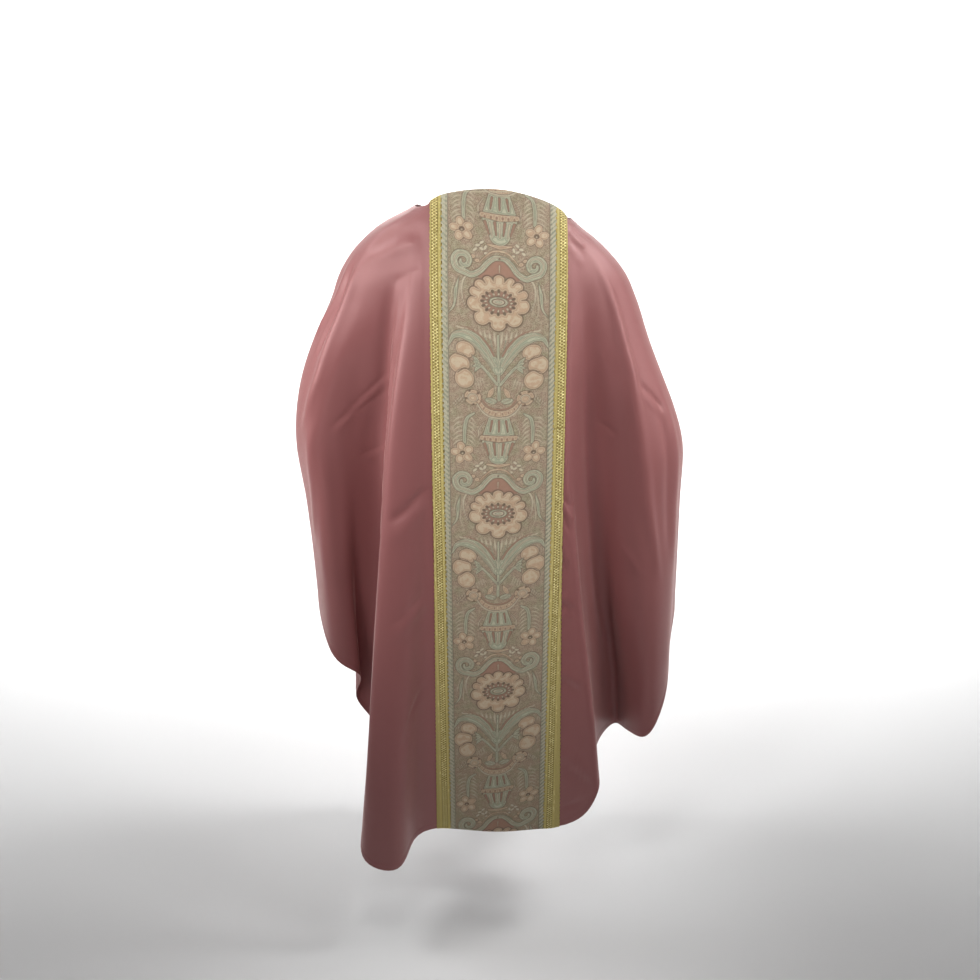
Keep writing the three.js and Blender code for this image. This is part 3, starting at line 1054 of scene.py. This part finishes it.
    def _side_blooms(self) -> None:
        """The two three-lobed blooms with their cups and stems, and the small roses below."""
        for x, y, wide, high, turn in ((57, 88, 17, 14, -14), (68, 113, 18, 18, 0), (60, 139, 17, 17, 20)):
            self.spot(BLOOM, x, y, wide, high, turn, outline=1.3)
        self.brush(LINE, [(44, 108), (58, 100), (74, 97)], (0.5, 0.8, 0.4))
        self.brush(LINE, [(46, 122), (60, 121), (72, 130)], (0.5, 0.8, 0.4))
        for i, (x, y) in enumerate(((46, 96), (44, 106), (46, 116), (42, 126))):
            self.brush(LEAF, [(30, 112 + i), (38, (112 + y) / 2), (x, y)], (1.5, 3.4, 0.8), 0.8)
        self.brush(LEAF, [(29, 114), (17, 127), (3, 145)], (2.6, 2.8, 2.6), 0.8)
        for i in range(4):
            self.brush(PALE, [(29 + 4 * i, 136 + 3 * i), (24 + 5 * i, 150 + 2 * i)], (1.2, 0.5))
        self.spot(BLOOM, 46, 171, 15, 14, outline=1.3)
        self.spot(PALE, 46, 172, 9, 8, outline=0.8)
        self.spot(BLOOM, 46, 172.5, 7, 6)
        for x, y in ((37, 163), (52, 160), (58, 174), (45, 184)):
            self.spot(LINE, x, y, 2.2, 1.8)
        for i in range(5):
            self.brush(PALE, [(64 + 4 * i, 168 + 4 * i), (60 + 4 * i, 182 + 2 * i)], (1.3, 0.5), 0.6)

    def _vase(self) -> None:
        """The urn with its beaded rim, fluted neck, waist and bowl."""
        neck = self.stroke([(0, 208), (0, 240)], (19, 29))
        self.paint(LEAF, neck, 1.2)
        for x in (0.0, 12.5):
            self.brush(ROSE, [(x, 212), (x * 1.25, 232)], (1.9, 1.2), 0.7)
        bowl = np.minimum(self.stroke([(0, 252), (0, 276)], (30, 18)), self._off(244.0))
        self.paint(LEAF, bowl, 1.2)
        for x in (8.5, 25.0):
            self.brush(ROSE, [(x, 255), (x * 0.72, 276)], (2.4, 1.2), 0.7)
        self.brush(PALE, [(0, 256), (0, 280)], (1.6, 1.0))
        self.brush(PALE, [(17, 256), (13, 280)], (1.6, 0.8))
        self.brush(BLOOM, [(0, 246), (30, 244)], (6.0, 4.6), 1.1)
        for x in (0.0, 10.0, 20.0):
            self.spot(ROSE, x + 5, 246.5, 1.6, 2.6)
        self.brush(PALE, [(26, 214), (36, 232), (33, 252)], (0.8, 1.2, 0.7), 0.7)
        self.brush(BLOOM, [(0, 297), (20, 294)], (3.4, 2.0), 0.9)
        rim = [(0, 199), (14, 197), (26, 190), (36, 178)]
        self.brush(PALE, [(0, 205), (15, 203), (28, 196), (39, 182)], (3.0, 3.0, 1.4))
        self.brush(BLOOM, rim, (5.6, 5.6, 4.6, 3.0), 1.3)
        self.brush(ROSE, [(0, 191), (14, 189), (24, 182), (31, 172)], (1.5, 1.5, 1.0))
        for x, y in ((6, 199), (17, 196.5), (27, 190), (34, 181)):
            self.spot(ROSE, x, y, 1.0, 2.4, -20)

    def _side_sprays(self) -> None:
        """The drooping stems, their leaflets and the blossoms at their ends."""
        for i in range(7):
            y = 206.0 + 8.5 * i
            self.brush(PALE, [(56, y), (48, y + 4), (41, y + 12)], (0.6, 1.5, 0.5))
            self.brush(PALE, [(62, y + 2), (72, y + 5), (80, y + 13)], (0.6, 1.3, 0.5))
        self.brush(LEAF, [(44, 200), (56, 210), (60, 230), (60, 256)], (2.0, 3.4, 3.6, 3.0), 0.9)
        for turn in range(5):
            angle = math.radians(72 * turn - 90 + 14)
            x, y = 63 + 12 * math.cos(angle), 275 + 12 * math.sin(angle)
            self.spot(BLOOM, x, y, 9.5, 7.6, math.degrees(angle), outline=1.0)
        self.spot(LINE, 63, 275, 4.6, 3.8, 20)
        self.spot(PALE, 63, 276, 1.8, 1.5)
        buds = ((30, 292, 40), (37, 298, 10), (30, 303, -25), (24, 300, 70), (41, 306, 40), (22, 310, 0))
        for x, y, turn in buds:
            self.spot(PALE, x, y, 4.8, 2.6, turn, outline=1.0)
        for x, y in ((44, 318), (37, 324)):
            self.spot(BLOOM, x, y, 4.4, 3.6, outline=1.0)

    def _scrolls(self) -> None:
        """The volute pair joined by an arch over the rosette."""
        self.brush(ROSE, [(0, -58), (12, -54), (30, -44)], (14, 12, 7))
        self.brush(PALE, [(0, -62), (0, -50)], (0.9, 0.5))
        self.brush(BLOOM, [(0, -87), (13, -84), (24, -74), (34, -62)], (2.0, 1.8, 1.0), 0.7)
        curl = [(60 + r * math.cos(a), -62 + r * math.sin(a)) for r, a in self._spiral()]
        arch = [(0, -75), (10, -73), (20, -64), (31, -50), (45, -41)]
        self.brush(LEAF, arch + curl, (4.6, 4.8, 5.0, 5.6, 6.2, 6.4, 6.0, 5.4, 4.8, 3.6, 2.6), 1.2)
        shine = [(x, y - 0.8) for x, y in arch + curl[:-3]]
        self.brush(PALE, shine, (0.9, 0.9, 1.0, 1.0, 0.8, 0.5))
        self.spot(LINE, 0, -74, 1.6, 1.6)

    @staticmethod
    def _spiral() -> list[tuple[float, float]]:
        """The radii and angles of a volute from its foot to its eye."""
        turns = np.linspace(0, 1, 10)
        return [(19.5 - 15.0 * t**0.9, math.pi / 2 + 0.25 - t * 2 * math.pi * 1.32) for t in turns]

    def _rosette(self) -> None:
        """The many-lobed rose with its ringed eye."""
        lobes = (
            (0, 37, 13.5), (27, 28.5, 14), (40, 7, 13.0), (41, -13, 8.5), (32, -26, 9.0),
            (19, -34, 8.5), (0, -36, 10.5),
        )
        whole = np.max([self.ellipse(x, y, r, r) for x, y, r in lobes] + [self.ellipse(0, 0, 44, 38)], axis=0)
        self.paint(BLOOM, whole, 2.2)
        for x, y in ((14, 43), (39, 22), (45, -5), (38, -21), (26, -34), (10, -40)):
            self.brush(LINE, [(x, y), (x * 0.86, y * 0.86)], (1.0, 0.3))
        self.spot(ROSE, 0, 1, 27, 19.5)
        for i in range(9):
            turn = -90 + 22.5 * i
            c, s = math.cos(math.radians(turn)), math.sin(math.radians(turn))
            self.spot(LINE, 27 * c, 1 + 19.5 * s, 3.4, 2.4, turn)
            self.spot(PALE, 21.5 * c, 1 + 14.5 * s, 2.4, 1.7, turn, outline=0.7)
        self.spot(LINE, 0, 0, 17, 10)
        self.spot(LEAF, 0, 0, 15.4, 8.4)
        self.spot(LINE, 0, 0, 11.2, 5.6)
        self.spot(PALE, 0, 0, 9.6, 4.2)
        self.spot(LEAF, 0, 0, 6.0, 2.2)

    def _borders(self, across: Array, down: Array) -> None:
        """The twisted stripe along each braid."""
        inside = np.abs(across) - self.FIELD_HALF
        self.paint(LEAF, inside)
        twist = np.cos(2 * math.pi * (down + (np.abs(across) - 92) * 0.9) / 8.5)
        self.fields[PALE] = np.maximum(self.fields[PALE], np.minimum(inside - 1.2, twist * 1.6 - 0.5))
        gap = np.minimum(inside - 1.0, -twist * 1.4 - 0.9)
        self.fields[LINE] = np.maximum(self.fields[LINE], np.minimum(gap, 0.25))
        self.fields[LINE] = np.maximum(self.fields[LINE], 0.7 - np.abs(inside))
        self.fields[PALE] = np.maximum(self.fields[PALE], 1.2 - np.abs(down - 4.0))
        self.relief = np.clip(
            np.max([self.fields[tint] for tint in Tint if tint is not LINE], axis=0) / 3.0, 0, 1
        )

    def facts(self) -> dict[str, Array]:
        """The fields as the finish reads them."""
        return {tint.value: np.clip(values, -4, 4) for tint, values in self.fields.items()}


# ---- The garment ----


@dataclass
class Garment:
    """The chasuble's own pieces, each on the drape."""

    drape: Drape
    body: str = "root"

    def finish_piece(
        self, piece: bpy.types.Object, material: bpy.types.Material, slot: str, *nodes: str
    ) -> None:
        """Dresses a piece, rides it on the garment's body and lets it stand for CAD nodes.

        Args:
            piece: The new piece.
            material: Its finish.
            slot: The name of a material slot of the record; not used.
            nodes: The CAD nodes that it replaces.
        """
        piece.data.materials.append(material)
        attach(piece, self.body)
        if nodes:
            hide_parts(*nodes)
        log.info("%s: %d faces", piece.name, len(piece.data.polygons))


@dataclass
class SatinPanels:
    """The back and the front, two walls of satin that meet along the shoulders and arms."""

    garment: Garment
    material: bpy.types.Material
    rows: int = 240
    thick: float = CLOTH_THICK
    row_crowding: float = 1.12
    turning: float = 13.0
    turned_rise: float = 0.5
    turned_slope: float = 1.6

    def _shares(self) -> Array:
        """The rows, closer together at the neck and along the hem's turning."""
        even = row_shares(self.rows, self.row_crowding)
        near = np.array([0.0012, 0.003, 0.006, 0.0085, 0.0095, 0.0105, 0.012])
        return np.unique(np.concatenate((even, near, 1 - near)))

    def _turnings(self, points: Array) -> Array:
        """How far the turned edges at the neck and the hem stand out, in mm."""
        down = lengths_down(points)
        edge = np.minimum(down, down[-1:] - down)
        return self.turned_rise * np.clip((self.turning - edge) / self.turned_slope, 0, 1)

    def _panel(self, name: str, spans: Sequence[tuple[float, float, int]]) -> bpy.types.Object:
        """One wall over spans of the fold lines, each (first line, last line, columns)."""
        drape = self.garment.drape
        places = np.unique(np.concatenate([drape.even_places(*span) for span in spans]))
        shares = self._shares()
        points, normals = drape.surface(places, shares)
        covered = (places > LINE_BAND_LEFT - 0.05) & (places < LINE_BAND_RIGHT + 0.05)
        points = points + normals * (self._turnings(points) * ~covered)[..., None]
        along = unit(np.gradient(points, axis=1))
        points[:, 0] += along[:, 0] * SEAM_GAP / 2
        points[:, -1] -= along[:, -1] * SEAM_GAP / 2
        down = lengths_down(points).mean(1) * MM
        uv = np.stack(np.broadcast_arrays(drape.around(places)[None, :], down[:, None]), -1)
        piece = Skin(points, uv).mesh(name)
        wall = piece.modifiers.new("wall", "SOLIDIFY")
        wall.thickness = self.thick * MM
        wall.offset = 0
        wall.use_even_offset = False
        return piece

    def build(self) -> None:
        left, covered = (0, LINE_BAND_LEFT, 84), (LINE_BAND_LEFT, LINE_BAND_RIGHT, 20)
        back = self._panel("satin_back", (left, covered, (LINE_BAND_RIGHT, LINE_RIGHT_SEAM, 84)))
        front = self._panel("satin_front", ((LINE_RIGHT_SEAM, LINE_COUNT, 170),))
        self.garment.finish_piece(back, self.material, "rose_satin", "back")
        self.garment.finish_piece(front, self.material, "rose_satin", "front")


@dataclass
class TapestryBand:
    """The floral band down the middle of the back."""

    garment: Garment
    material: bpy.types.Material
    columns: int = 110
    rows: int = 725
    relief: float = 0.35

    def build(self) -> None:
        """Makes the band on the back, with its pattern."""
        drape = self.garment.drape
        places = drape.even_places(LINE_BRAID_LEFT, LINE_BRAID_RIGHT, self.columns)
        shares = row_shares(self.rows, TRIM_ROW_CROWDING)
        points, normals = drape.surface(places, shares)
        across = points[..., 0] - BAND_MIDDLE_X
        column = int(np.argmin(np.abs(places - LINE_MIDDLE)))
        down = lengths_down(points) + (points[0, column, 2] - points[0, :, 2])[None, :]
        ornament = Ornament(across, down)
        top = CLOTH_THICK / 2 + SEAM_GAP + BAND_THICK - self.relief
        points = points + normals * (top + ornament.relief * self.relief)[..., None]
        skin = Skin(points, np.stack((across, down), -1) * MM, ornament.facts())
        piece = skin.turned(normals, BAND_THICK - self.relief, 0.4).mesh("tapestry_band")
        self.garment.finish_piece(piece, self.material, "floral_tapestry", "orphrey_band")


@dataclass
class GoldBraids:
    """The two gold braids that cover the band's edges."""

    garment: Garment
    material: bpy.types.Material
    columns: int = 24
    rows: int = 1160
    period: float = 11.0
    swing: float = 4.4
    lattice_shift: float = 0.8
    join_down: float = 390.0
    join_half: float = 1.2
    relief: float = 0.9
    cord_half: float = 1.3
    strand: tuple[float, float] = (7.4, 1.1)  # place and half-width of the thin strand by each edge
    selvage: tuple[float, float] = (9.2, 0.9)

    @staticmethod
    def _round(gap: Array, half: float) -> Array:
        """A round ridge of a half-width, from the distances to its middle."""
        return np.clip(1 - (gap / half) ** 2, 0, 1)

    def _relief(self, across: Array, down: Array) -> tuple[Array, Array]:
        """The braid's interlaced cords.

        Args:
            across: Distances from the braid's middle, in mm.
            down: Distances down the braid, in mm.

        Returns:
            How much each place is on a cord, and how much painted shade it gets in a gap, both from 0 to 1.
        """
        cords = np.zeros(across.shape)
        for turn in (0.0, 0.5):
            phase = (down / self.period + turn) % 1.0
            zigzag = self.swing * (4 * np.abs(phase - 0.5) - 1)
            gap = np.abs(across - zigzag) * 0.78
            over = 0.8 + 0.2 * np.cos(2 * math.pi * (2 * phase + turn) + (turn > 0) * math.pi)
            cords = np.maximum(cords, over * self._round(gap, self.cord_half))
        for height, (place, half) in ((0.3, self.strand), (0.45, self.selvage)):
            cords = np.maximum(cords, height * self._round(np.abs(across) - place, half))
        middle = np.abs(across) < self.swing + 1.2
        # painted shade in the gaps, deepest between the interlaced cords
        pit_shading = np.where(middle, np.clip(1.0 - cords * 2.6, 0, 1), 0.25 * np.clip(1 - cords * 4, 0, 1))
        return cords, pit_shading

    def _braid(self, name: str, side: int, first: int, last: int, node: str) -> None:
        """One braid between two fold lines, on the side +1 for left or -1 for right."""
        drape = self.garment.drape
        places = drape.even_places(first, last, self.columns)
        shares = row_shares(self.rows, TRIM_ROW_CROWDING)
        points, normals = drape.surface(places, shares)
        across = points[..., 0] - (BAND_MIDDLE_X + side * (BAND_WIDTH / 2 - BRAID_WIDTH / 2))
        down = lengths_down(points) + (points[0, :1, 2] - points[0, :, 2])[None, :]
        beyond = (down > self.join_down) if side < 0 else np.zeros(down.shape, bool)
        cords, pit_shading = self._relief(across - side * self.lattice_shift, down + beyond * self.period * 0.35)
        joined = np.abs(down - self.join_down) < self.join_half if side < 0 else beyond
        # at the join the cords stop, and the join gets the painted shade of a gap
        cords, pit_shading = np.where(joined, 0.0, cords), np.where(joined, 0.7, pit_shading)
        base = CLOTH_THICK / 2 + SEAM_GAP + BRAID_THICK - self.relief
        points = points + normals * (base + self.relief * cords)[..., None]
        skin = Skin(points, np.stack((across, down), -1) * MM, {"cord": cords, "pit_shade": pit_shading})
        piece = skin.turned(normals, BRAID_THICK - self.relief, 0.5).mesh(name)
        self.garment.finish_piece(piece, self.material, "gold_braid", node)

    def build(self) -> None:
        """Makes both braids."""
        self._braid("gold_braid_left", 1, LINE_BAND_LEFT, LINE_BRAID_LEFT, "braid_left")
        self._braid("gold_braid_right", -1, LINE_BRAID_RIGHT, LINE_BAND_RIGHT, "braid_right")


@dataclass
class EdgeStitches:
    """The small stitches that hold the braids down along both edges of each."""

    garment: Garment
    material: bpy.types.Material
    doublings: int = 10
    size: tuple[float, float, float] = (1.3, 0.36, 0.34)
    inset: float = 0.5

    def _frames(self) -> tuple[Array, Array]:
        """Where each stitch sits, and its own three axes, in mm."""
        count = 2**self.doublings // 4
        places, frames = [], []
        edges = ((LINE_BAND_LEFT, 1), (LINE_BRAID_LEFT, -1), (LINE_BRAID_RIGHT, 1), (LINE_BAND_RIGHT, -1))
        for seed, (line, outward) in enumerate(edges):
            outer = line in (LINE_BAND_LEFT, LINE_BAND_RIGHT)
            rise = CLOTH_THICK / 2 + SEAM_GAP + (0.3 if outer else BAND_THICK + 0.1)
            shares = np.linspace(0.004, 0.996, count) + 0.0006 * np.sin(np.arange(count) * (1.7 + seed))
            spots, normals = self.garment.drape.surface(line + np.array([-0.02, 0.0, 0.02]), shares)
            normal, way = normals[:, 1], unit(spots[:, 2] - spots[:, 0]) * -outward
            slant = unit(way + 0.35 * np.cross(way, normal))
            places.append(spots[:, 1] + normal * rise + way * self.inset)
            frames.append(np.stack((slant, np.cross(normal, slant), normal), 1))
        return np.concatenate(places), np.concatenate(frames)

    def build(self) -> None:
        """Makes the stitches as one piece, from a ball doubled until there is one for each."""
        builder = bmesh.new()
        bmesh.ops.create_uvsphere(builder, u_segments=6, v_segments=4, radius=1.0)
        ball = np.array([vert.co[:] for vert in builder.verts]) * self.size
        for _ in range(self.doublings):
            bmesh.ops.duplicate(builder, geom=builder.verts[:] + builder.edges[:] + builder.faces[:])
        piece = linked("braid_stitches", builder)
        places, frames = self._frames()
        move_points(piece, places[:, None] + ball @ frames)
        piece.data.update()
        self.garment.finish_piece(piece, self.material, "gold_braid")


# ---- The studio ----


# name, place, aim, spread in degrees, watts
CONE_LIGHTS = (
    ("ceiling", (0.1, 0.85, 1.6), (0, 0, -0.3), 52, 24),
    ("behind the camera", (0.3, 2.4, 0.6), (0, 0, -0.45), 42, 14),
    ("left near", (1.1, 1.5, 0.6), (0.25, 0, -0.35), 46, 125),
    ("left low", (1.6, 0.5, 0.0), (0.3, 0, -0.35), 44, 75),
    ("left far", (1.5, -0.2, 1.1), (0.35, 0, -0.3), 46, 75),
    ("right near", (-1.1, 1.5, 0.6), (-0.25, 0, -0.35), 46, 50),
    ("right side", (-1.4, 0.7, 0.8), (-0.3, 0, -0.35), 46, 46),
    ("right low", (-1.6, 0.5, 0.0), (-0.3, 0, -0.35), 44, 38),
    ("right far", (-1.5, -0.2, 1.1), (-0.35, 0, -0.3), 46, 125),
)


@dataclass
class Studio:
    """Floor, light and camera."""

    floor_z: float = -1.48
    eye: tuple[float, float, float] = (0.0, 1.82, 0.12)
    pitch_down: float = 20.5
    lens: float = 36.73
    sensor: float = 36.0
    surround: float = 0.18
    floor_half: float = 5.0
    bend_from: float = -2.0  # y where the floor starts to sweep up, with a radius of 1 m
    bend_steps: int = 12
    backdrop_top: float = 3.5

    def camera(self) -> None:
        """Puts the camera at the photograph's angle."""
        data = bpy.data.cameras.new("camera")
        data.lens, data.sensor_width = self.lens, self.sensor
        data.sensor_fit = "HORIZONTAL"
        camera = placed("camera", data)
        camera.location = self.eye
        camera.rotation_euler = (math.radians(90 - self.pitch_down), 0, math.pi)
        bpy.context.scene.camera = camera

    def floor(self) -> None:
        """A pale floor that sweeps up behind the garment."""
        builder = bmesh.new()
        line = [(self.floor_half, self.floor_z)]
        for step in range(self.bend_steps + 1):
            angle = step / self.bend_steps * math.pi / 2
            line.append((self.bend_from - math.sin(angle), self.floor_z + 1 - math.cos(angle)))
        line.append((self.bend_from - 1, self.backdrop_top))
        profile = [builder.verts.new((-self.floor_half, y, z)) for y, z in line]
        edges = [builder.edges.new(pair) for pair in zip(profile[:-1], profile[1:])]
        grown = bmesh.ops.extrude_edge_only(builder, edges=edges)
        moved = [item for item in grown["geom"] if isinstance(item, bmesh.types.BMVert)]
        bmesh.ops.translate(builder, verts=moved, vec=(2 * self.floor_half, 0, 0))
        bmesh.ops.recalc_face_normals(builder, faces=builder.faces)
        floor = linked("floor", builder)
        board = Board("pale floor")
        board.set(Base_Color=(0.8, 0.8, 0.8, 1), Roughness=0.9)
        floor.data.materials.append(board.material)

    def _light(
        self,
        name: str,
        kind: str,
        place: Sequence[float],
        aim: Sequence[float],
        watts: float,
        **settings: Any,
    ) -> None:
        """A light of a kind at a place, turned to a point.

        Args:
            name: The light's name.
            kind: Blender's kind of light.
            place: Where it stands, in metres.
            aim: The point that it is turned to.
            watts: Its power.
            settings: More properties of the light.
        """
        data = bpy.data.lights.new(name, kind)
        data.energy = watts
        for key, value in settings.items():
            setattr(data, key, value)
        lamp = placed(name, data)
        lamp.location = place
        lamp.rotation_mode = "QUATERNION"
        lamp.rotation_quaternion = (Vector(aim) - Vector(place)).to_track_quat("-Z", "Y")

    def lights(self) -> None:
        """A dim surround, soft cones of light round the wearer's back and light on the backdrop."""
        world = bpy.data.worlds.new("studio")
        world.use_nodes = True
        surround = world.node_tree.nodes["Background"]
        surround.inputs[0].default_value = (1.0, 1.0, 1.0, 1)
        surround.inputs[1].default_value = self.surround
        bpy.context.scene.world = world
        for name, place, aim, spread, watts in CONE_LIGHTS:
            cone = {"shadow_soft_size": 0.3, "spot_size": math.radians(spread), "spot_blend": 1.0}
            self._light(name, "SPOT", place, aim, watts, **cone)
        for name, side, watts in (("backdrop left", 1, 105), ("backdrop right", -1, 95)):
            place, aim = (side * 0.9, -1.5, 1.0), (side * 1.6, -4.0, -0.9)
            self._light(name, "AREA", place, aim, watts, size=1.4, shape="SQUARE")

    def build(self) -> None:
        """Sets the studio up."""
        bpy.context.scene.view_settings.view_transform = "Standard"
        self.camera()
        self.floor()
        self.lights()


def corners(box: tuple[Vector, Vector]) -> list[list[float]]:
    """A box as plain lists of numbers."""
    return [[float(part) for part in corner] for corner in box]


def main() -> None:
    """Builds the whole scene."""
    logging.basicConfig(level=logging.INFO, format="%(name)s: %(message)s", stream=sys.stdout)
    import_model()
    Studio().build()
    garment = Garment(Drape())
    SatinPanels(garment, RoseSatin().material()).build()
    TapestryBand(garment, FloralTapestry().material()).build()
    GoldBraids(garment, GoldBraid().material()).build()
    EdgeStitches(garment, SewingThread().material()).build()


if __name__ == "__main__":
    main()
